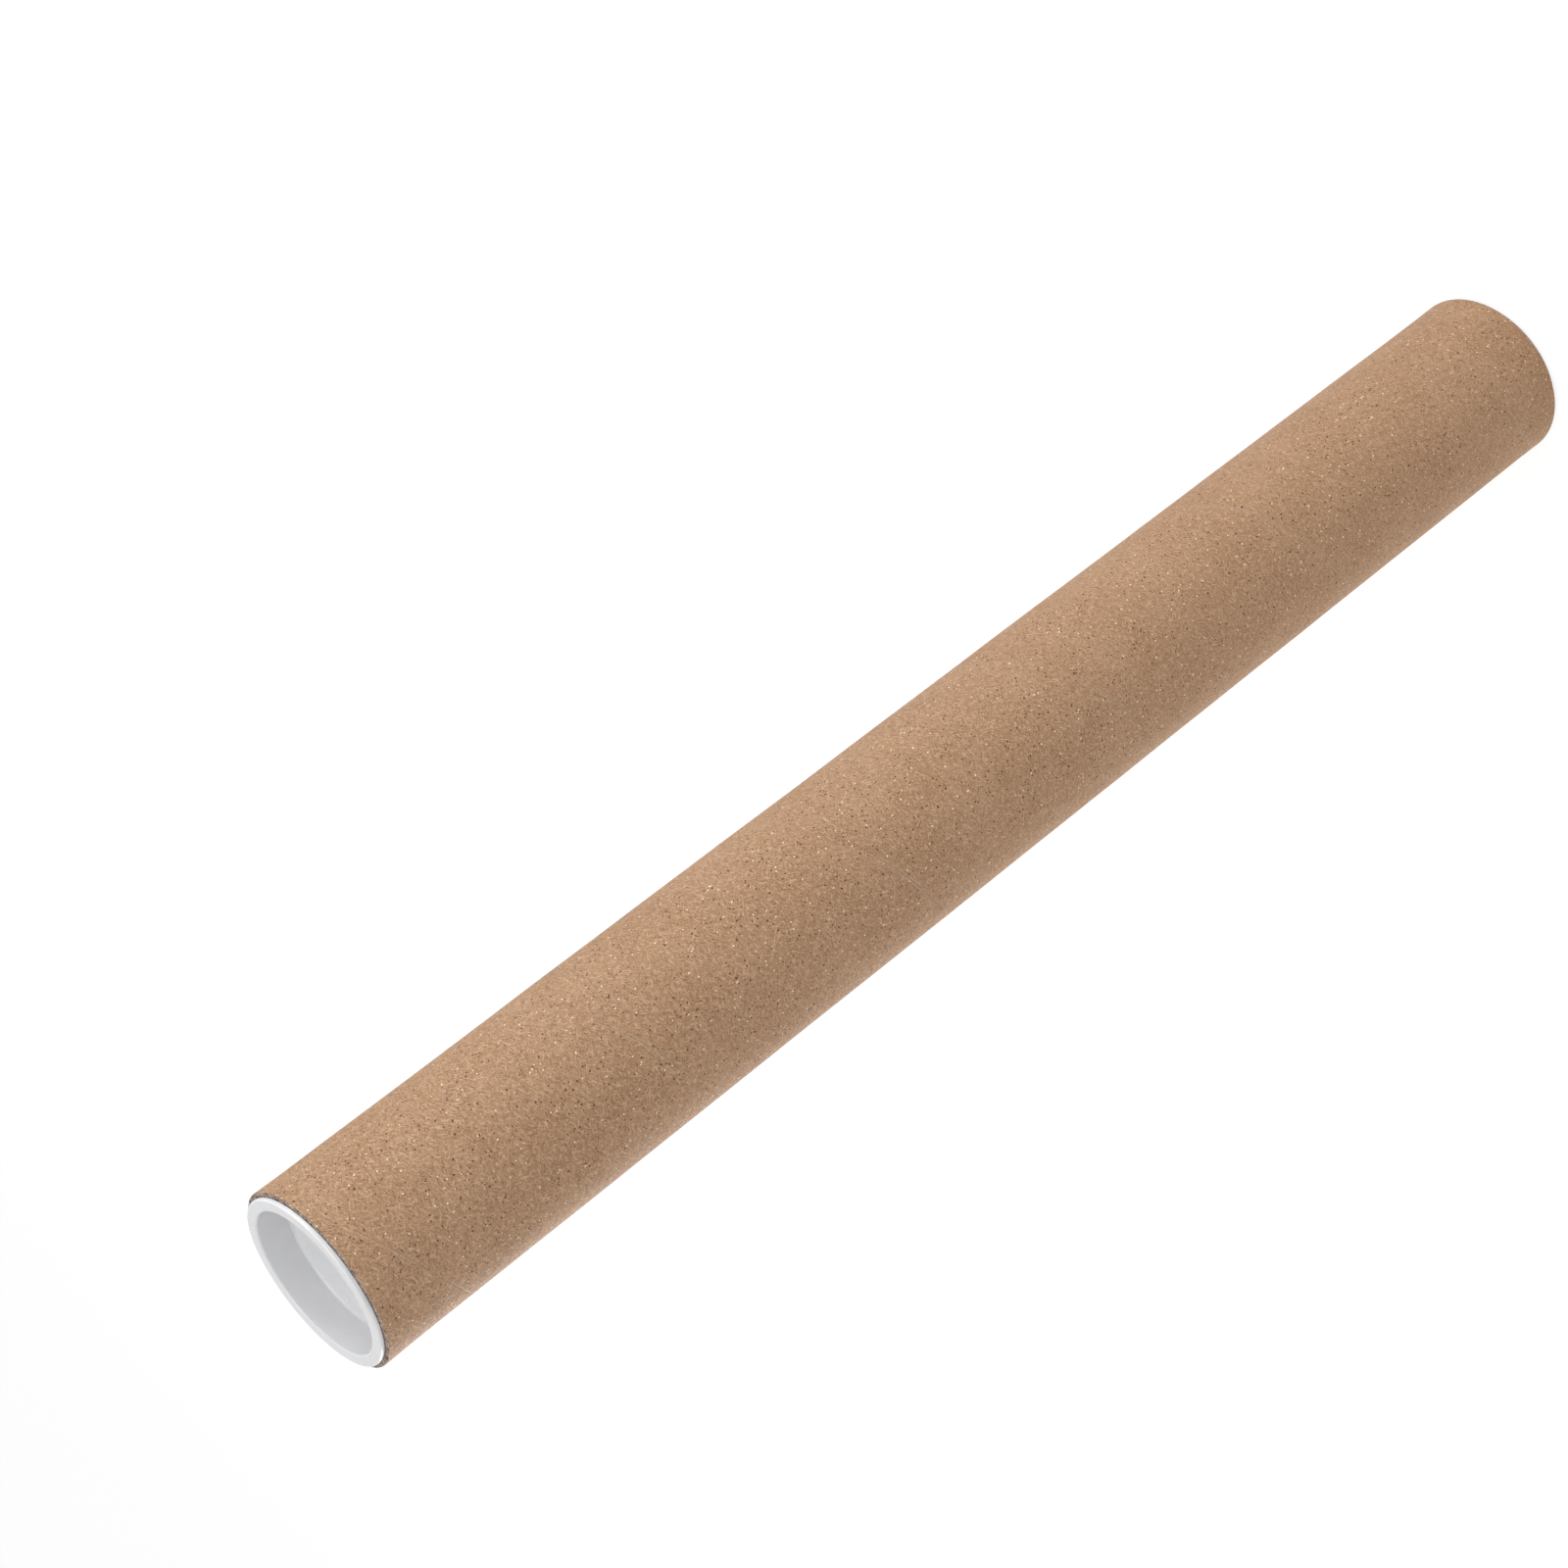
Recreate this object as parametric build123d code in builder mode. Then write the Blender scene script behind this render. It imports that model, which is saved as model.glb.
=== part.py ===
from build123d import *
import os

# Cardboard mailing tube: a spiral-wound kraft tube, open at both ends, with the same moulded
# plastic cap pushed into each end.  The tube stands on its bottom cap.  +Z runs up the tube's
# axis, and the origin is the middle of the bottom cap's ring, where the tube stands.

os.makedirs("parts", exist_ok=True)

# Driving dimensions, in millimetres.

# the cardboard tube
tube_length = 475.0
tube_outer_radius = 27.0
tube_wall = 2.5
tube_edge_round = 0.3       # the saw leaves the outer edge of each cut end slightly rounded

# the end cap: a shallow cup with a ring round its mouth that sits on the tube's cut end
cap_clearance = 0.1         # between the plug and the tube's bore
rim_of_board_showing = 1.4  # width of cut cardboard left visible round the ring
ring_thickness = 1.5
ring_edge_round = 0.4       # both outer edges of the ring
cap_wall = 2.4
cap_floor = 1.5
recess_depth = 10.0         # from the ring's face down to the cap's floor
mouth_round = 0.6           # where the ring turns down into the recess
recess_corner_round = 1.0   # where the recess wall meets its floor
plug_draft = 0.25           # how much narrower the plug is at its inner end
plug_lead_in = 0.8          # rounded inner end that guides the plug into the bore

# Sizes that follow from them.

bore_radius = tube_outer_radius - tube_wall
tube_bottom = ring_thickness
tube_top = tube_bottom + tube_length
plug_radius = bore_radius - cap_clearance
plug_end_radius = plug_radius - plug_draft
plug_depth = recess_depth + cap_floor - ring_thickness
ring_radius = tube_outer_radius - rim_of_board_showing

# The ring spans the joint between plug and board, and the plug leaves room for a recess.
mouth_radius = plug_radius - cap_wall
recess_end_radius = plug_end_radius - cap_wall
recess_end = ring_thickness - recess_depth

# The cap's half section: radius outwards, then height above the tube's cut end.
# Each corner carries the radius that rounds it, and zero leaves it sharp.
cap_section = [
    ((0, -plug_depth), 0),
    ((plug_end_radius, -plug_depth), plug_lead_in),
    ((plug_radius, 0), 0),
    ((ring_radius, 0), ring_edge_round),
    ((ring_radius, ring_thickness), ring_edge_round),
    ((mouth_radius, ring_thickness), mouth_round),
    ((recess_end_radius, recess_end), recess_corner_round),
    ((0, recess_end), 0),
]
section_points = [point for point, corner_round in cap_section]
section_rounds = [corner_round for point, corner_round in cap_section]

# The tube's wall: one solid, because its glued plies never come apart.

with BuildPart() as tube:
    with BuildSketch(Plane.XY.offset(tube_bottom)):
        Circle(tube_outer_radius)
        Circle(bore_radius, mode=Mode.SUBTRACT)
    extrude(amount=tube_length)
    outer_rims = tube.edges().filter_by(GeomType.CIRCLE).group_by(SortBy.RADIUS)[-1]
    fillet(outer_rims, radius=tube_edge_round)

tube.part.label = "tube"
export_step(tube.part, "parts/tube.step")

# The two caps are the same moulding, each turned with its ring away from the tube.  The section
# is drawn in a plane whose X runs outwards from the axis and whose Y runs out of the tube.

cap_planes = {
    "bottom_cap": Plane(origin=(0, 0, tube_bottom), x_dir=(1, 0, 0), z_dir=(0, 1, 0)),
    "top_cap": Plane(origin=(0, 0, tube_top), x_dir=(1, 0, 0), z_dir=(0, -1, 0)),
}

for cap_name, section_plane in cap_planes.items():
    with BuildPart() as cap:
        with BuildSketch(section_plane):
            with BuildLine():
                FilletPolyline(section_points, radius=section_rounds, close=True)
            make_face()
        revolve(axis=Axis.Z)
    cap.part.label = cap_name
    export_step(cap.part, f"parts/{cap_name}.step")
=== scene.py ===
# %% [markdown]
# # A cardboard mailing tube
#
# A mailing tube is three pieces: a wall wound from strips of brown kraft paper, and a white plastic cap
# pushed into each end. The CAD model holds their true sizes, so this script loads it first, and every
# Blender piece takes its place from it. Lengths are in metres. The tube stands on its bottom cap, with
# +Z along its axis.

# %% Load the CAD frame
from math import pi, radians, tau
import bmesh
import bpy
from mathutils import Matrix, Vector


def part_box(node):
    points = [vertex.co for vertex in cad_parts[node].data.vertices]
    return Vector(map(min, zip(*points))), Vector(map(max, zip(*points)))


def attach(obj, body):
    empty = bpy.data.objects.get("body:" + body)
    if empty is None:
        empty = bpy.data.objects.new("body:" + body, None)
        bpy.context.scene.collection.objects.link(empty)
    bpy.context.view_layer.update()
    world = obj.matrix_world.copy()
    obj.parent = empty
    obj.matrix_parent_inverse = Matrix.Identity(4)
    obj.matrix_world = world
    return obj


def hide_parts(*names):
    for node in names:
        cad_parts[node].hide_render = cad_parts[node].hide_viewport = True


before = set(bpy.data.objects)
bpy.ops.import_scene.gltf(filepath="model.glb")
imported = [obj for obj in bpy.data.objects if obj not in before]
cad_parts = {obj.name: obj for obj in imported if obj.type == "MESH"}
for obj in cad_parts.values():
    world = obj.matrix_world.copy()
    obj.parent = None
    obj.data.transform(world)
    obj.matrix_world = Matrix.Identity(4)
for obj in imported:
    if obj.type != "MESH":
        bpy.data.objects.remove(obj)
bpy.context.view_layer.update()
millimetre = 0.001
board_low, board_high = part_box("tube")
top_cap_low, top_cap_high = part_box("top_cap")
tube_radius = board_high.x
print("board", board_high.z - board_low.z, "long and", tube_radius, "in radius")

# %% [markdown]
# ## The camera
#
# The tube is seen from the side and a little above its top end, through a long lens. The picture is rolled
# so that the tube runs from the lower left up to the right. A camera can be placed by hand or by an aim
# point. Here it stands at a distance and height and looks at a point beside the axis, and then it is
# rolled about its own line of sight, because each of those is one plain number.

# %% Place the camera
camera_distance = 0.8707
camera_height_above_board = 0.2750
aim_beside_axis = 0.02936
aim_below_board_top = 0.19065
camera_roll = radians(126.88)
camera_lens_mm = 82.44
camera_sensor_mm = 36
camera_near_limit = 0.01

camera_place = Vector((0, -camera_distance, board_high.z + camera_height_above_board))
aim_point = Vector((aim_beside_axis, 0, board_high.z - aim_below_board_top))
line_of_sight = aim_point - camera_place
unrolled = line_of_sight.to_track_quat("-Z", "Y").to_matrix()
bpy.ops.object.camera_add(location=camera_place)
camera = bpy.context.object
camera.name = "camera"
camera.rotation_euler = (unrolled @ Matrix.Rotation(-camera_roll, 3, "Z")).to_euler()
camera.data.lens = camera_lens_mm
camera.data.sensor_width = camera_sensor_mm
camera.data.clip_start = camera_near_limit
bpy.context.scene.camera = camera
print("camera at", tuple(round(c, 4) for c in camera_place))

# %% [markdown]
# ## Helpers for modelling
#
# Blender's edit operators act on whatever is selected, so each step first picks its corners by their
# place, or the open edges at a height. A ring of edges is pulled out into a new band of faces, as a potter
# draws up a wall: extrude, move along the axis, and scale about it.

# %% Pick corners, and draw a ring out into a band
def start_fresh():
    bpy.ops.object.select_all(action="DESELECT")


def radius_of(place):
    return Vector((place.x, place.y)).length


def pick(piece, wanted, keep="EDGE"):
    """In edit mode, select just the corners whose place is wanted, and keep them as edges or corners."""
    bpy.ops.mesh.select_mode(type="VERT")
    bpy.ops.mesh.select_all(action="DESELECT")
    mesh = bmesh.from_edit_mesh(piece.data)
    for corner in mesh.verts:
        if wanted(corner.co):
            corner.select_set(True)
    mesh.select_flush(True)
    bmesh.update_edit_mesh(piece.data)
    bpy.ops.mesh.select_mode(type=keep)


def pick_open_rings(piece, *heights, slack=0.1 * millimetre):
    """In edit mode, select just the open edges that lie at the heights given, and count them."""
    bpy.ops.mesh.select_mode(type="EDGE")
    bpy.ops.mesh.select_all(action="DESELECT")
    mesh = bmesh.from_edit_mesh(piece.data)
    for edge in mesh.edges:
        if edge.is_boundary and any(abs(edge.verts[0].co.z - height) < slack
                                    and abs(edge.verts[1].co.z - height) < slack for height in heights):
            edge.select_set(True)
    mesh.select_flush_mode()
    bmesh.update_edit_mesh(piece.data)
    return sum(edge.select for edge in mesh.edges)


def draw_ring(radius_now, radius_next, rise):
    """Extrude the selected ring of edges, move it along the axis and scale it about the axis."""
    bpy.ops.mesh.extrude_edges_move(TRANSFORM_OT_translate={"value": (0, 0, rise)})
    scale = radius_next / radius_now
    bpy.ops.transform.resize(value=(scale, scale, 1), center_override=(0, 0, 0))


def true_ring(piece, radius):
    """Bring the selected corners to one exact radius."""
    mesh = bmesh.from_edit_mesh(piece.data)
    for corner in mesh.verts:
        if corner.select:
            scale = radius / radius_of(corner.co)
            corner.co.x *= scale
            corner.co.y *= scale
    bmesh.update_edit_mesh(piece.data)


def apply_modifier(piece, modifier):
    bpy.context.view_layer.objects.active = piece
    bpy.ops.object.modifier_apply(modifier=modifier.name)


# %% [markdown]
# ## The end caps
#
# Each cap is one moulding: a shallow cup whose mouth turns out into a flat ring that sits on the board.
# It could be spun from an outline, or cut from a cylinder. Here it is drawn up from the disc of its floor,
# ring by ring, and then each corner is rounded by its own bevel, the way a mould maker would list them.

# %% Draw up the top cap
cap_wall = 2.4 * millimetre
cap_floor = 1.5 * millimetre
plug_clearance = 0.1 * millimetre
board_wall = 2.5 * millimetre
plug_draft = 0.25 * millimetre
cap_sides = 160
cap_crease = radians(40)

ring_radius = top_cap_high.x
bore_radius = tube_radius - board_wall
plug_radius = bore_radius - plug_clearance
plug_end_radius = plug_radius - plug_draft
mouth_radius = plug_radius - cap_wall
recess_radius = plug_end_radius - cap_wall
recess_floor_height = top_cap_low.z + cap_floor
ring_face = top_cap_high.z
seat_height = board_high.z

# each ring of the cap from its floor outwards: radius, then height
cap_rings = [
    (recess_radius, recess_floor_height),
    (mouth_radius, ring_face),
    (ring_radius, ring_face),
    (ring_radius, seat_height),
    (plug_radius, seat_height),
    (plug_end_radius, top_cap_low.z),
]
# each rounded corner of the cap: which ring it is, its radius and its number of facets
cap_roundings = [
    (0, 1.0 * millimetre, 6),
    (1, 0.6 * millimetre, 6),
    (2, 0.4 * millimetre, 5),
    (3, 0.4 * millimetre, 5),
    (5, 0.8 * millimetre, 4),
]


def at_ring(radius, height, slack=0.02 * millimetre):
    return lambda place: abs(radius_of(place) - radius) < slack and abs(place.z - height) < slack


start_fresh()
bpy.ops.mesh.primitive_circle_add(vertices=cap_sides, radius=recess_radius, fill_type="NGON",
                                  location=(0, 0, recess_floor_height))
top_cap = bpy.context.object
top_cap.name = "white_cap_top"
bpy.ops.object.transform_apply()
bpy.ops.object.mode_set(mode="EDIT")
bpy.ops.mesh.select_mode(type="EDGE")
bpy.ops.mesh.select_all(action="SELECT")
for (radius, height), (next_radius, next_height) in zip(cap_rings, cap_rings[1:]):
    draw_ring(radius, next_radius, next_height - height)
bpy.ops.mesh.edge_face_add()
for ring, rounding, facets in cap_roundings:
    pick(top_cap, at_ring(*cap_rings[ring]))
    bpy.ops.mesh.bevel(offset=rounding, segments=facets, affect="EDGES")
bpy.ops.mesh.select_all(action="SELECT")
bpy.ops.mesh.normals_make_consistent(inside=False)
bpy.ops.object.mode_set(mode="OBJECT")
bpy.ops.object.shade_smooth_by_angle(angle=cap_crease)
even_shading = top_cap.modifiers.new("even shading", "WEIGHTED_NORMAL")
even_shading.keep_sharp = True
apply_modifier(top_cap, even_shading)
print("cap", len(top_cap.data.polygons), "faces")

# %% Copy it to the bottom
# The bottom cap is the same moulding, turned over about the middle of the board.
bottom_cap = top_cap.copy()
bottom_cap.data = top_cap.data.copy()
bottom_cap.name = "white_cap_bottom"
bpy.context.collection.objects.link(bottom_cap)
start_fresh()
bottom_cap.select_set(True)
bpy.context.view_layer.objects.active = bottom_cap
middle = (board_low.z + board_high.z) / 2
bpy.ops.transform.rotate(value=pi, orient_axis="X", center_override=(0, 0, middle))
bpy.ops.object.transform_apply()
print("caps from", round(min(v.co.z for v in bottom_cap.data.vertices), 5), "to",
      round(max(v.co.z for v in top_cap.data.vertices), 5))

# %% [markdown]
# ## The wound board
#
# The wall is wound from strips of paper that climb round the tube as a screw thread does, and the edges of
# the outer strip meet in a fine seam. A plain cylinder with a painted line would not show it at the
# outline. So one strip's edge-to-edge section is drawn, a low lip and half a groove at each edge, and the
# Screw modifier winds it up the tube. The ends are then sawn off square.

# %% Wind the outer strip
winding_pitch = 87.5 * millimetre
seam_first_height = 52.0 * millimetre
seam_half_width = 0.2 * millimetre
seam_depth = 0.10 * millimetre
lip_width = 0.9 * millimetre
lip_height = 0.03 * millimetre
winding_turns = 7
winding_steps = 224
strip_rows = 22
saw_rounding = 0.3 * millimetre
weld_distance = 0.003 * millimetre
same_height = 0.001 * millimetre

strip_radius = tube_radius - lip_height
strip_width = winding_pitch - 2 * (seam_half_width + lip_width)
winding_start = seam_first_height - 2 * winding_pitch
plane_middle = strip_radius + strip_width / 2

start_fresh()
bpy.ops.mesh.primitive_plane_add(size=strip_width, rotation=(pi / 2, 0, 0),
                                 location=(plane_middle, 0, winding_start + winding_pitch / 2))
board = bpy.context.object
board.name = "kraft_tube"
bpy.ops.object.transform_apply()
bpy.ops.object.mode_set(mode="EDIT")
pick(board, lambda place: place.x > plane_middle, keep="VERT")
bpy.ops.mesh.delete(type="VERT")
bpy.ops.mesh.select_all(action="SELECT")
bpy.ops.mesh.subdivide(number_cuts=strip_rows)
for end, way in ((max, 1), (min, -1)):
    edge_height = end(corner.co.z for corner in bmesh.from_edit_mesh(board.data).verts)
    pick(board, lambda place: abs(place.z - edge_height) < same_height, keep="VERT")
    for outwards, along in ((lip_height, lip_width), (-seam_depth, seam_half_width)):
        bpy.ops.mesh.extrude_vertices_move(TRANSFORM_OT_translate={"value": (outwards, 0, way * along)})
bpy.ops.object.mode_set(mode="OBJECT")

winding = board.modifiers.new("winding", "SCREW")
winding.axis = "Z"
winding.angle = tau
winding.screw_offset = winding_pitch
winding.iterations = winding_turns
winding.steps = winding_steps
winding.render_steps = winding_steps
apply_modifier(board, winding)
print("wound", len(board.data.polygons), "faces")

# %% Saw both ends square
bpy.ops.object.mode_set(mode="EDIT")
bpy.ops.mesh.select_all(action="SELECT")
bpy.ops.mesh.remove_doubles(threshold=weld_distance)
for height, way in ((board_high.z - saw_rounding, 1), (board_low.z + saw_rounding, -1)):
    bpy.ops.mesh.select_all(action="SELECT")
    bpy.ops.mesh.bisect(plane_co=(0, 0, height), plane_no=(0, 0, way), clear_outer=True)
bpy.ops.mesh.select_all(action="SELECT")
bpy.ops.mesh.remove_doubles(threshold=weld_distance)
bpy.ops.object.mode_set(mode="OBJECT")

# %% [markdown]
# Board is never quite true: its outline wanders by a few tenths of a millimetre. A Displace modifier with a
# soft cloud texture presses the outside in a little. It fades out near the ends, where the saw and the
# caps keep the board round. The depth has to be negative if the faces point outwards, so that is measured
# first.

# %% Let the outside wander
sag_depth = 0.30 * millimetre
wave_length = 45 * millimetre
fade_length = 9 * millimetre
free_surface = board.vertex_groups.new(name="free surface")
for corner in board.data.vertices:
    from_end = min(corner.co.z - board_low.z, board_high.z - corner.co.z)
    free_surface.add([corner.index], min(1, max(0, from_end / fade_length)), "REPLACE")
cloud = bpy.data.textures.new("slow waves", "CLOUDS")
cloud.noise_scale = wave_length
wander = board.modifiers.new("wander", "DISPLACE")
wander.texture = cloud
wander.texture_coords = "LOCAL"
wander.vertex_group = free_surface.name
wander.mid_level = 0
outward_sum = sum(face.normal.dot(Vector((face.center.x, face.center.y, 0))) for face in board.data.polygons)
faces_point_outwards = outward_sum > 0
wander.strength = -sag_depth if faces_point_outwards else sag_depth
apply_modifier(board, wander)
print("faces point outwards:", faces_point_outwards)

# %% [markdown]
# ## The cut ends and the bore
#
# A sawn end shows the plies as fine rings, because each layer springs back a little from the next. The
# end is drawn inwards from the sawn edge, one ply at a time, with a narrow groove after each. The grooves
# are real faces, and a small random shake roughens them as the saw does. The last ring at the top is
# drawn down nearly the whole bore and the one at the bottom a little way up it, and a bridge joins the two.
# A count of open edges then shows that the board is closed.

# %% Draw the plies inwards at each end
ply_count = 5
ply_groove_width = 0.05 * millimetre
ply_groove_depth = 0.08 * millimetre
face_set_back = 0.08 * millimetre
saw_roughness = 0.03 * millimetre
bore_join_low = board_low.z + 6 * millimetre
bore_join_high = board_low.z + 12 * millimetre
closest_corners = 0.35 * millimetre
# the sawn corner's rounding: each step's distance in from the outside, and its share of the rise
rounding_steps = ((0.05 * millimetre, 0.7), (0.22 * millimetre, 0.3))

edge_radius = tube_radius - rounding_steps[-1][0]
ply_flat = (edge_radius - bore_radius) / ply_count - 2 * ply_groove_width

bpy.ops.object.mode_set(mode="EDIT")
for end_height, way, join_height in ((board_high.z, 1, bore_join_high), (board_low.z, -1, bore_join_low)):
    cut_height = end_height - way * saw_rounding
    pick_open_rings(board, cut_height)
    bpy.ops.mesh.remove_doubles(threshold=closest_corners)
    print("sawn edge at", round(cut_height, 5), "has", pick_open_rings(board, cut_height), "edges")
    rounded = saw_rounding - face_set_back
    radius = tube_radius
    for inwards, share in rounding_steps:
        draw_ring(radius, tube_radius - inwards, way * share * rounded)
        radius = tube_radius - inwards
    for _ in range(ply_count):
        for inwards, rise in ((ply_flat, 0), (ply_groove_width, -ply_groove_depth),
                              (ply_groove_width, ply_groove_depth)):
            draw_ring(radius, radius - inwards, way * rise)
            radius -= inwards
    true_ring(board, bore_radius)
    draw_ring(bore_radius, bore_radius, -way * (abs(end_height - join_height) - face_set_back))
print("the bore's two rings have", pick_open_rings(board, bore_join_low, bore_join_high), "edges")
bpy.ops.mesh.bridge_edge_loops()

# %% Roughen the sawn faces and finish the mesh
sawn_depth = 0.25 * millimetre
corner_margin = 0.1 * millimetre
edge_slack = 0.01 * millimetre
last_weld = 0.001 * millimetre
saw_seed = 7
board_crease = radians(38)

bpy.ops.mesh.select_all(action="DESELECT")
for end_height in (board_high.z, board_low.z):
    pick(board, lambda place: abs(place.z - end_height) < sawn_depth
         and bore_radius + corner_margin < radius_of(place) < edge_radius + edge_slack)
    bpy.ops.transform.vertex_random(offset=saw_roughness, seed=saw_seed)
bpy.ops.mesh.select_all(action="SELECT")
bpy.ops.mesh.remove_doubles(threshold=last_weld)
bpy.ops.mesh.normals_make_consistent(inside=False)
board_mesh = bmesh.from_edit_mesh(board.data)
badly_joined = sum(not edge.is_manifold for edge in board_mesh.edges)
print("edges of the board that are open or shared by too many faces:", badly_joined)
bpy.ops.object.mode_set(mode="OBJECT")
bpy.ops.object.shade_smooth_by_angle(angle=board_crease)
triangles = sum(len(face.vertices) - 2 for face in board.data.polygons)
print("board", len(board.data.polygons), "faces,", triangles, "triangles")

# %% [markdown]
# ## Helpers for materials
#
# The finishes are built from nodes. One short helper adds a node with its settings and links in one line.
# The others use it for arithmetic, soft steps, blends and noise, so that a pattern reads as a sum. A
# noise's scale is how many of its waves fit in a metre.

# %% Add a node, and do arithmetic
def add(tree, kind, settings=(), **sockets):
    """Add a node. A keyword names an input, and its value is a number, a colour or a socket to link."""
    made = tree.nodes.new(kind)
    for setting, value in dict(settings).items():
        setattr(made, setting, value)
    for name, value in sockets.items():
        socket = made.inputs[int(name[1:])] if name[1:].isdigit() else made.inputs[name.replace("_", " ")]
        if isinstance(value, bpy.types.NodeSocket):
            tree.links.new(value, socket)
        else:
            socket.default_value = value
    return made


def calc(tree, operation, *values):
    named = {f"n{place}": value for place, value in enumerate(values)}
    return add(tree, "ShaderNodeMath", {"operation": operation}, **named).outputs[0]


def step_up(tree, value, low, high):
    """0 below low, 1 above high and smooth between."""
    return add(tree, "ShaderNodeMapRange", {"interpolation_type": "SMOOTHSTEP"}, Value=value,
               From_Min=low, From_Max=high).outputs["Result"]


def blend_colour(tree, amount, under, over, way="MIX"):
    settings = {"data_type": "RGBA", "blend_type": way}
    return add(tree, "ShaderNodeMix", settings, n0=amount, n6=under, n7=over).outputs[2]


def noise(tree, place, scale, detail=3.0, roughness=0.55):
    return add(tree, "ShaderNodeTexNoise", Vector=place, Scale=scale, Detail=detail,
               Roughness=roughness).outputs[0]


def new_group(name, inputs, outputs):
    """A node group with named inputs and outputs."""
    tree = bpy.data.node_groups.new(name, "ShaderNodeTree")
    kinds = {"value": "NodeSocketFloat", "colour": "NodeSocketColor", "vector": "NodeSocketVector"}
    for socket, kind in inputs.items():
        tree.interface.new_socket(socket, in_out="INPUT", socket_type=kinds[kind])
    for socket, kind in outputs.items():
        tree.interface.new_socket(socket, in_out="OUTPUT", socket_type=kinds[kind])
    return tree, tree.nodes.new("NodeGroupInput").outputs, tree.nodes.new("NodeGroupOutput").inputs


def use_group(tree, group, **sockets):
    return add(tree, "ShaderNodeGroup", {"node_tree": group}, **sockets).outputs


def new_material(name, colour):
    material = bpy.data.materials.new(name)
    material.use_nodes = True
    material.diffuse_color = (*colour, 1)
    tree = material.node_tree
    return material, tree, tree.nodes["Principled BSDF"]


# %% [markdown]
# ## Unrolling the wound strip
#
# Paper fibres lie along the strip, which climbs round the tube. To draw them, each point of the wall is
# unrolled to where it lay on the flat strip: how far along it, and how far across. The same sum gives the
# distance to the seam. The turn of the winding is counted too, so the pattern is broken only at the real
# seam. The outside of the board and its bore both use it, so it is a node group.

# %% The wound strip group
pattern_shift_per_turn = 0.31


def make_strip_group():
    tree, given, result = new_group(
        "wound strip",
        {"Place": "vector", "Radius": "value", "Pitch": "value", "Seam Height": "value"},
        {"Strip Place": "vector", "Seam Distance": "value"})
    split = add(tree, "ShaderNodeSeparateXYZ", Vector=given["Place"]).outputs
    turn = calc(tree, "DIVIDE", calc(tree, "ARCTAN2", split["Y"], split["X"]), tau)
    climb = calc(tree, "DIVIDE", calc(tree, "SUBTRACT", split["Z"], given["Seam Height"]), given["Pitch"])
    winding_place = calc(tree, "SUBTRACT", climb, turn)
    whole_turns = calc(tree, "FLOOR", winding_place)
    across_share = calc(tree, "SUBTRACT", winding_place, whole_turns)
    girth = calc(tree, "MULTIPLY", given["Radius"], tau)
    unrolled = calc(tree, "MULTIPLY", calc(tree, "ADD", turn, whole_turns), girth)
    slope = calc(tree, "ARCTAN2", given["Pitch"], girth)
    level, rise = calc(tree, "COSINE", slope), calc(tree, "SINE", slope)
    along = calc(tree, "ADD", calc(tree, "MULTIPLY", unrolled, level),
                 calc(tree, "MULTIPLY", split["Z"], rise))
    width = calc(tree, "MULTIPLY", given["Pitch"], level)
    across = calc(tree, "MULTIPLY", across_share, width)
    turn_shift = calc(tree, "MULTIPLY", whole_turns, pattern_shift_per_turn)
    place = add(tree, "ShaderNodeCombineXYZ", X=along, Y=across, Z=turn_shift)
    tree.links.new(place.outputs[0], result["Strip Place"])
    to_far_edge = calc(tree, "SUBTRACT", width, across)
    tree.links.new(calc(tree, "MINIMUM", across, to_far_edge), result["Seam Distance"])
    return tree


strip_group = make_strip_group()

# %% [markdown]
# ## Kraft paper
#
# Kraft is cooked wood fibre, left brown. Close to, it has cloudy patches where the pulp settled, short
# pale fibres lying mostly along the strip, and a few dark specks of bark. An image could carry all that.
# Here it is drawn from noise at the fibres' own sizes, so it holds at any distance. The group gives a
# colour, a height and a roughness, and each use sets its own browns.

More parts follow.
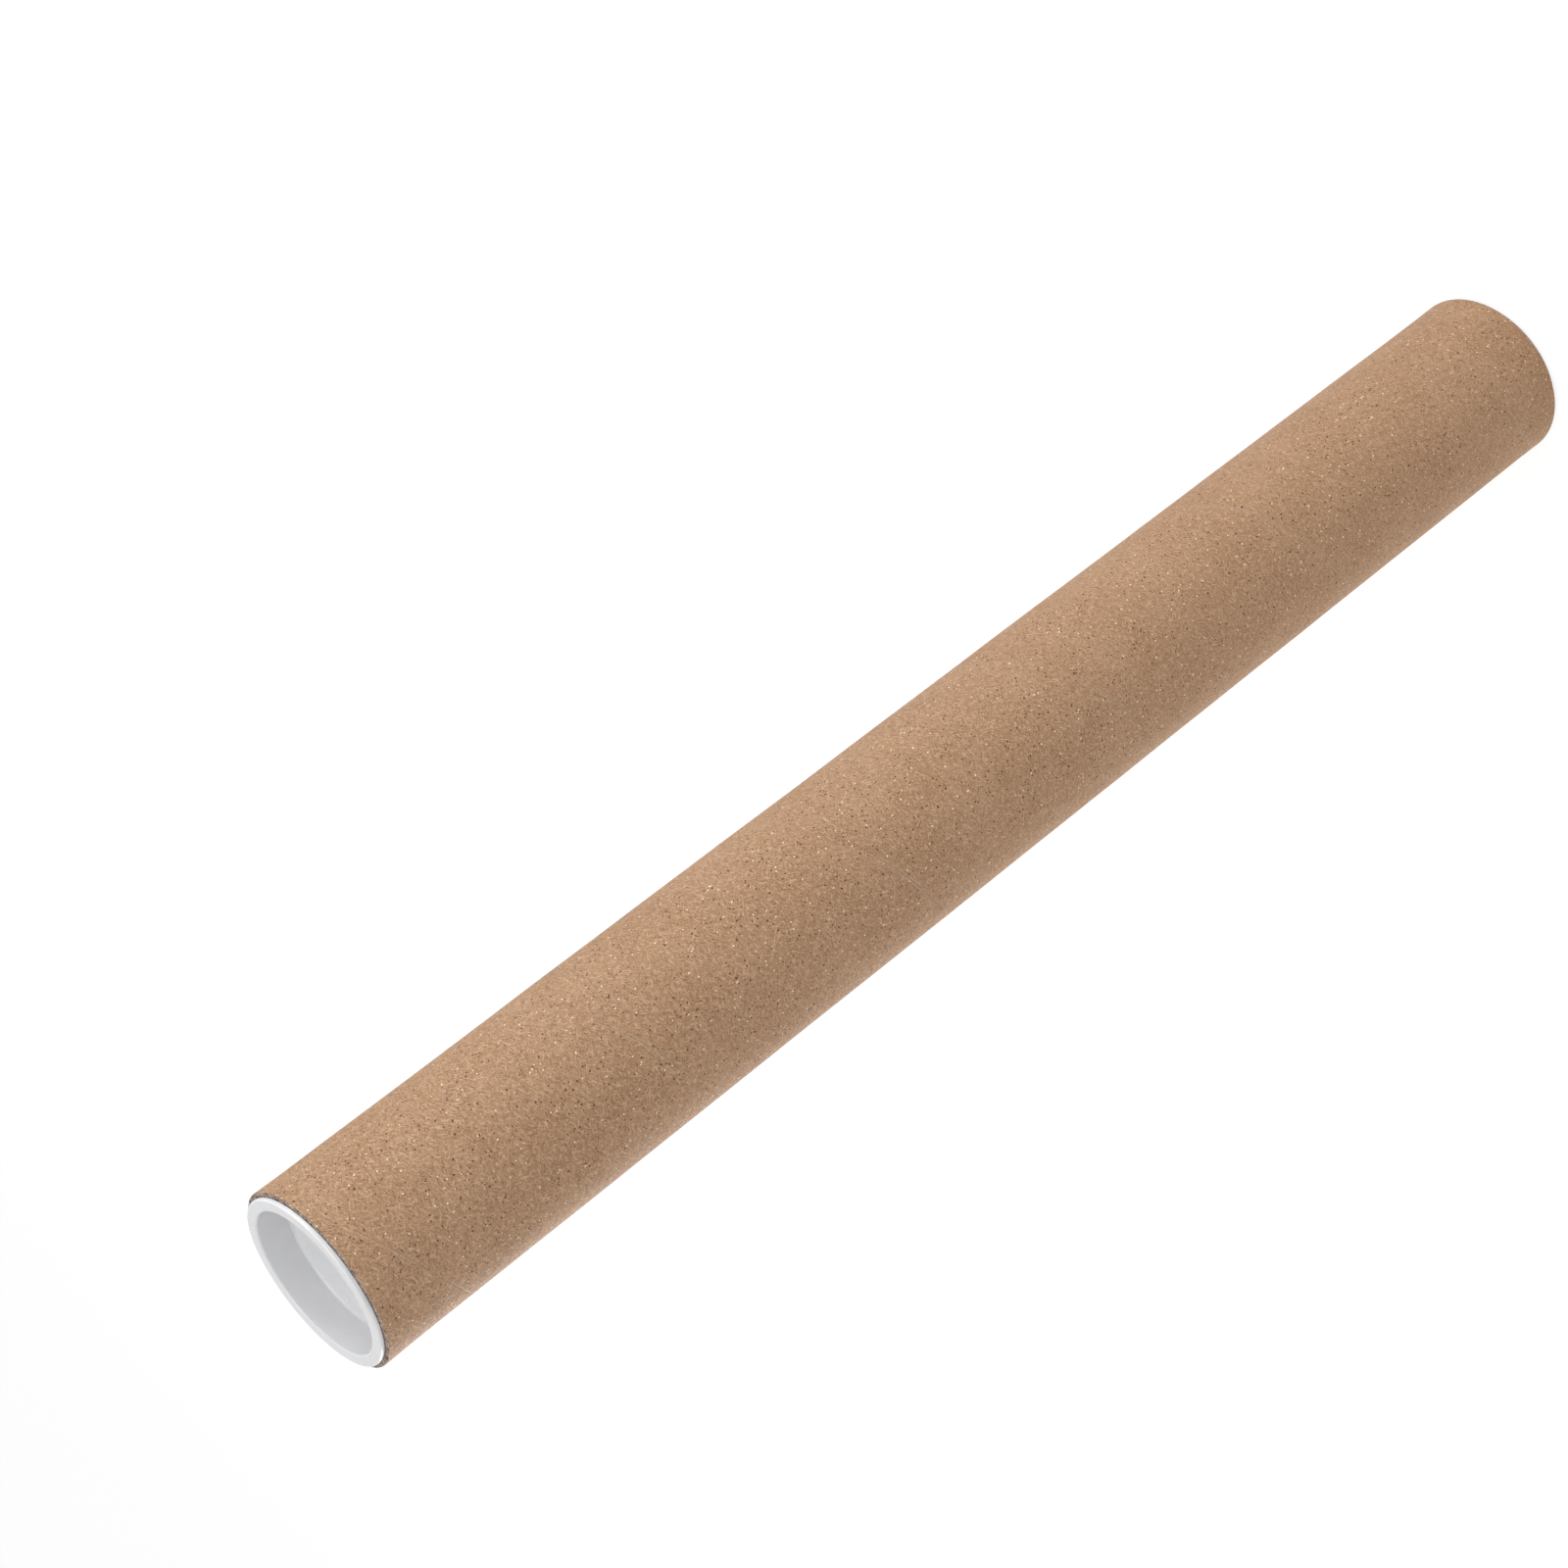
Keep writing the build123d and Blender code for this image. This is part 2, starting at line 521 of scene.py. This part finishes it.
# %% The kraft paper group
def make_kraft_group():
    tree, given, result = new_group(
        "kraft paper",
        {"Place": "vector", "Brown": "colour", "Pale Brown": "colour", "Dark Brown": "colour",
         "Bark Brown": "colour", "Chip Colour": "colour", "Fibre Amount": "value"},
        {"Color": "colour", "Height": "value", "Roughness": "value"})
    place = given["Place"]

    def laid(along_scale, across_scale, angle):
        turned = add(tree, "ShaderNodeMapping", Vector=place, Rotation=(0, 0, angle))
        return add(tree, "ShaderNodeMapping", Vector=turned.outputs[0],
                   Scale=(along_scale, across_scale, 97)).outputs[0]

    patches = noise(tree, place, 48, 3)
    clouds = noise(tree, place, 230, 3)
    grain = noise(tree, laid(1900, 2800, 0.3), 1, 4, 0.75)
    dust = noise(tree, laid(3300, 3900, 0.9), 1, 3, 0.7)
    fibres = [step_up(tree, noise(tree, laid(520, 2300, angle), 1, 2, 0.5), low, low + 0.07)
              for angle, low in ((0.2, 0.59), (-0.6, 0.60), (1.2, 0.61))]
    fibre_mask = calc(tree, "MAXIMUM", calc(tree, "MAXIMUM", fibres[0], fibres[1]), fibres[2])
    dark_fibres = [step_up(tree, noise(tree, laid(560, 2000, angle), 1, 2, 0.5), 0.58, 0.67)
                   for angle in (0.8, -0.25)]
    dark_mask = calc(tree, "MAXIMUM", *dark_fibres)

    def flecks(scale, size, share):
        cells = add(tree, "ShaderNodeTexVoronoi", Vector=place, Scale=scale)
        chance = add(tree, "ShaderNodeSeparateColor", Color=cells.outputs["Color"]).outputs[0]
        near = calc(tree, "SUBTRACT", 1, step_up(tree, cells.outputs["Distance"], size * 0.6, size))
        return calc(tree, "MULTIPLY", near, calc(tree, "LESS_THAN", chance, share))

    bark = calc(tree, "MAXIMUM", flecks(520, 0.20, 0.26), flecks(900, 0.28, 0.20))
    chips = calc(tree, "MAXIMUM", flecks(410, 0.13, 0.16), flecks(700, 0.19, 0.16))

    def mixed_in(amount, share, tone, under):
        return blend_colour(tree, calc(tree, "MULTIPLY", amount, share), under, tone)

    colour = mixed_in(step_up(tree, patches, 0.3, 0.7), 0.16, given["Pale Brown"], given["Brown"])
    colour = mixed_in(step_up(tree, clouds, 0.4, 0.7), 0.12, given["Dark Brown"], colour)
    colour = mixed_in(step_up(tree, grain, 0.50, 0.66), 0.52, given["Pale Brown"], colour)
    low_grain = calc(tree, "SUBTRACT", 1, step_up(tree, grain, 0.36, 0.50))
    colour = mixed_in(low_grain, 0.40, given["Dark Brown"], colour)
    colour = mixed_in(step_up(tree, dust, 0.5, 0.68), 0.38, given["Pale Brown"], colour)
    colour = mixed_in(dark_mask, 0.50, given["Dark Brown"], colour)
    colour = mixed_in(fibre_mask, given["Fibre Amount"], given["Pale Brown"], colour)
    colour = mixed_in(bark, 0.95, given["Bark Brown"], colour)
    colour = mixed_in(chips, 0.95, given["Chip Colour"], colour)
    tree.links.new(colour, result["Color"])
    height = calc(tree, "ADD", calc(tree, "MULTIPLY", fibre_mask, 0.5), grain)
    tree.links.new(height, result["Height"])
    tree.links.new(calc(tree, "SUBTRACT", 0.80, calc(tree, "MULTIPLY", grain, 0.22)), result["Roughness"])
    return tree


kraft_group = make_kraft_group()

# %% The outside of the board
face_brown = (0.340, 0.189, 0.096)
face_pale = (0.580, 0.385, 0.245)
face_dark = (0.160, 0.076, 0.038)
bark_brown = (0.060, 0.030, 0.020)
chip_pale = (0.860, 0.760, 0.600)
# The last two colours paint light onto the seam: a painted shade for its groove and a painted highlight for
# its lip.
seam_shadow = (0.190, 0.105, 0.062)
seam_painted_highlight = (0.500, 0.345, 0.235)


def make_board_face(name, brown, pale, dark, fibre_amount, radius, pitch, seam_height):
    material, tree, shader = new_material(name, brown)
    place = add(tree, "ShaderNodeTexCoord").outputs["Object"]
    strip = use_group(tree, strip_group, Place=place, Radius=radius, Pitch=pitch, Seam_Height=seam_height)
    paper = use_group(tree, kraft_group, Place=strip["Strip Place"], Brown=(*brown, 1), Pale_Brown=(*pale, 1),
                      Dark_Brown=(*dark, 1), Bark_Brown=(*bark_brown, 1), Chip_Colour=(*chip_pale, 1),
                      Fibre_Amount=fibre_amount)
    distance = strip["Seam Distance"]
    edge_wander = calc(tree, "MULTIPLY", noise(tree, place, 900, 2), 0.25 * millimetre)
    from_seam = calc(tree, "ADD", distance, edge_wander)
    # Where the noise lets the seam show, its groove is darkened with painted shade and the lip beside it is
    # lightened with a painted highlight.
    groove_shade_mask = calc(tree, "SUBTRACT", 1, step_up(tree, from_seam, 0.16 * millimetre, 0.34 * millimetre))
    lip_highlight_mask = calc(tree, "SUBTRACT", 1, step_up(tree, from_seam, 0.35 * millimetre, 1.0 * millimetre))
    showing = step_up(tree, noise(tree, place, 38, 2), 0.40, 0.62)
    colour = blend_colour(tree, calc(tree, "MULTIPLY", lip_highlight_mask, calc(tree, "MULTIPLY", showing, 0.55)),
                          paper["Color"], (*seam_painted_highlight, 1))
    colour = blend_colour(tree, calc(tree, "MULTIPLY", groove_shade_mask, calc(tree, "MULTIPLY", showing, 0.72)),
                          colour, (*seam_shadow, 1))
    bump = add(tree, "ShaderNodeBump", Strength=0.45, Distance=0.12 * millimetre, Height=paper["Height"])
    tree.links.new(colour, shader.inputs["Base Color"])
    tree.links.new(paper["Roughness"], shader.inputs["Roughness"])
    tree.links.new(bump.outputs[0], shader.inputs["Normal"])
    shader.inputs["Specular IOR Level"].default_value = 0.35
    return material


board_face = make_board_face("kraft face", face_brown, face_pale, face_dark, 0.70, tube_radius,
                             winding_pitch, seam_first_height)

# %% The bore
# The inner plies are plainer chipboard, wound with their own seam, half a turn away from the outer one. Its
# seam is drawn with the same painted shade and painted highlight, though the bore has no groove.
bore_brown = (0.330, 0.225, 0.150)
bore_pale = (0.520, 0.400, 0.300)
bore_dark = (0.150, 0.090, 0.055)
board_bore = make_board_face("chipboard bore", bore_brown, bore_pale, bore_dark, 0.35, bore_radius,
                             winding_pitch, seam_first_height + winding_pitch / 2)

# %% [markdown]
# ## The sawn edge
#
# Sawn board is darker than its face, because the fibres stand on end and trap light. The plies show as
# rings of slightly different browns, with torn pale fibres and dark tufts here and there. The rings follow
# the distance from the axis, so this material works that out first.

# %% The sawn edge of the board
cut_brown = (0.400, 0.310, 0.255)
cut_pale = (0.700, 0.600, 0.510)
cut_dark = (0.085, 0.056, 0.048)


def make_cut_edge():
    material, tree, shader = new_material("sawn board", cut_brown)
    place = add(tree, "ShaderNodeTexCoord").outputs["Object"]
    split = add(tree, "ShaderNodeSeparateXYZ", Vector=place).outputs
    across = calc(tree, "POWER", calc(tree, "ADD", calc(tree, "POWER", split["X"], 2),
                                      calc(tree, "POWER", split["Y"], 2)), 0.5)
    turn = calc(tree, "ARCTAN2", split["Y"], split["X"])
    ring_place = add(tree, "ShaderNodeCombineXYZ", X=calc(tree, "MULTIPLY", turn, 14),
                     Y=calc(tree, "MULTIPLY", across, 5200), Z=0.0).outputs[0]
    rings = noise(tree, ring_place, 1, 2, 0.5)
    torn = noise(tree, place, 1300, 3, 0.6)
    tufts = noise(tree, place, 620, 3, 0.6)
    colour = blend_colour(tree, step_up(tree, rings, 0.28, 0.56), (*cut_dark, 1), (*cut_brown, 1))
    colour = blend_colour(tree, calc(tree, "MULTIPLY", step_up(tree, torn, 0.50, 0.62), 0.80), colour,
                          (*cut_pale, 1))
    colour = blend_colour(tree, calc(tree, "MULTIPLY", step_up(tree, tufts, 0.50, 0.62), 0.75), colour,
                          (*cut_dark, 1))
    height = calc(tree, "ADD", torn, calc(tree, "MULTIPLY", rings, 0.8))
    bump = add(tree, "ShaderNodeBump", Strength=0.8, Distance=0.25 * millimetre, Height=height)
    tree.links.new(colour, shader.inputs["Base Color"])
    tree.links.new(bump.outputs[0], shader.inputs["Normal"])
    shader.inputs["Roughness"].default_value = 0.92
    shader.inputs["Specular IOR Level"].default_value = 0.2
    return material


board_cut = make_cut_edge()

# %% Put the three finishes on the board
bore_slack = 0.02 * millimetre

board.data.materials.clear()
for finish in (board_face, board_bore, board_cut):
    board.data.materials.append(finish)
for face in board.data.polygons:
    radius = radius_of(face.center)
    inside = radius < bore_radius + bore_slack
    from_end = min(face.center.z - board_low.z, board_high.z - face.center.z)
    sawn = from_end < sawn_depth and radius < tube_radius - corner_margin
    face.material_index = 1 if inside else 2 if sawn else 0
print("sawn faces", sum(face.material_index == 2 for face in board.data.polygons))

# %% [markdown]
# ## The cap's plastic
#
# The caps are moulded polyethylene: white, a little glossy and slightly waxy. Light goes a short way into
# it, which softens its shadows. Its gloss isn't even, because the mould's polish wears and hands rub the
# ring, so the roughness varies, and faint ripples bend the highlights.

# %% White polyethylene
cap_white = (0.735, 0.737, 0.748)
cap_handled = (0.690, 0.692, 0.702)
light_depth = 1.2 * millimetre


def make_cap_plastic():
    material, tree, shader = new_material("white polyethylene", cap_white)
    place = add(tree, "ShaderNodeTexCoord").outputs["Object"]
    handling = noise(tree, place, 70, 4, 0.6)
    ripples = noise(tree, place, 160, 2, 0.5)
    mould_grain = noise(tree, place, 2600, 2, 0.5)
    colour = blend_colour(tree, calc(tree, "MULTIPLY", step_up(tree, handling, 0.4, 0.7), 0.5),
                          (*cap_white, 1), (*cap_handled, 1))
    roughness = calc(tree, "ADD", 0.18, calc(tree, "MULTIPLY", handling, 0.14))
    height = calc(tree, "ADD", ripples, calc(tree, "MULTIPLY", mould_grain, 0.05))
    bump = add(tree, "ShaderNodeBump", Strength=0.25, Distance=0.3 * millimetre, Height=height)
    tree.links.new(colour, shader.inputs["Base Color"])
    tree.links.new(roughness, shader.inputs["Roughness"])
    tree.links.new(bump.outputs[0], shader.inputs["Normal"])
    shader.inputs["Subsurface Weight"].default_value = 0.15
    shader.inputs["Subsurface Radius"].default_value = (1.0, 0.9, 0.8)
    shader.inputs["Subsurface Scale"].default_value = light_depth
    return material


cap_plastic = make_cap_plastic()
for cap in (top_cap, bottom_cap):
    cap.data.materials.clear()
    cap.data.materials.append(cap_plastic)

# %% [markdown]
# ## Where each piece belongs
#
# Each piece rides on the body that moves it and takes the place of its plain CAD solid.

# %% Tie the pieces to the frame
for piece, node, body, slot in ((board, "tube", "tube", "kraft_board"),
                                (top_cap, "top_cap", "top_cap", "cap_plastic"),
                                (bottom_cap, "bottom_cap", "bottom_cap", "cap_plastic")):
    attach(piece, body)
    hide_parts(node)
    print(piece.name, "rides on", body)

# %% [markdown]
# ## Floor and light
#
# The tube stands on a plain white floor that fills the picture. The floor glows a little, but only where
# the camera sees it, by itself or in a reflection. So it reads as white and still keeps the tube's shadow.
# From underneath it is clear, so the bottom cap can be looked at.

# %% The floor
floor_size = 30
floor_white = (0.90, 0.90, 0.90)
floor_glow_share = 0.70
floor_glow = 1.17

start_fresh()
bpy.ops.mesh.primitive_plane_add(size=floor_size, location=(0, 0, 0))
floor = bpy.context.object
floor.name = "floor"


def seen_as_white(tree):
    """1 for what the camera sees, by itself, in a gloss or through something clear, and 0 for the rest."""
    path = add(tree, "ShaderNodeLightPath").outputs
    mirrored = calc(tree, "MAXIMUM", path["Is Glossy Ray"], path["Is Transmission Ray"])
    return calc(tree, "MAXIMUM", path["Is Camera Ray"], mirrored)


def make_floor_finish():
    material, tree, shader = new_material("white floor", floor_white)
    shader.inputs["Base Color"].default_value = (*floor_white, 1)
    shader.inputs["Roughness"].default_value = 0.9
    shader.inputs["Specular IOR Level"].default_value = 0.1
    glow = add(tree, "ShaderNodeEmission", Color=(1, 1, 1, 1), Strength=floor_glow)
    clear = add(tree, "ShaderNodeBsdfTransparent")
    share = calc(tree, "MULTIPLY", seen_as_white(tree), floor_glow_share)
    white = add(tree, "ShaderNodeMixShader", n0=share, n1=shader.outputs[0], n2=glow.outputs[0])
    behind = add(tree, "ShaderNodeNewGeometry").outputs["Backfacing"]
    both = add(tree, "ShaderNodeMixShader", n0=behind, n1=white.outputs[0], n2=clear.outputs[0])
    tree.links.new(both.outputs[0], tree.nodes["Material Output"].inputs["Surface"])
    return material


floor.data.materials.append(make_floor_finish())

# %% [markdown]
# The main light is a large soft lamp on the tube's +X side, with a weaker one low down beside it. A broad
# lamp over the top lights the cap, and a small one makes the cap's sharp highlights. Two more on the far
# side and behind light the other outline, as white walls would. The world is a plain white that fills the
# shadows.

# %% Lamps and world
def add_lamp(name, place, aim, size, power):
    turn = (Vector(aim) - Vector(place)).to_track_quat("-Z", "Y").to_euler()
    bpy.ops.object.light_add(type="AREA", location=place, rotation=turn)
    lamp = bpy.context.object
    lamp.name = name
    lamp.data.size = size
    lamp.data.energy = power
    lamp.visible_camera = False


tube_middle = (0, 0, middle)
tube_top = (0, 0, board_high.z)
tube_foot = (0, 0, 0.05)
# each lamp: its name, its place, where it is aimed, its size and its power in watts
lamps = [
    ("key", (2.1, -0.9, 0.32), tube_middle, 1.0, 26),
    ("spark", (1.7, -1.1, 1.15), tube_top, 0.22, 3),
    ("over", (0.2, -0.5, 1.9), tube_top, 1.0, 9),
    ("low side", (1.1, -0.5, 0.16), tube_foot, 0.5, 1.6),
    ("far side", (-1.4, -0.2, 0.35), tube_middle, 1.0, 4.5),
    ("behind", (-1.0, 1.35, 0.2), tube_middle, 0.6, 14),
]
for lamp_settings in lamps:
    add_lamp(*lamp_settings)

world = bpy.data.worlds.new("white room")
bpy.context.scene.world = world
world.use_nodes = True
room = world.node_tree
room_light = 0.56
strength = calc(room, "ADD", room_light, calc(room, "MULTIPLY", seen_as_white(room), 1 - room_light))
background = room.nodes["Background"]
background.inputs["Color"].default_value = (1, 1, 1, 1)
room.links.new(strength, background.inputs["Strength"])
bpy.context.scene.view_settings.view_transform = "Standard"
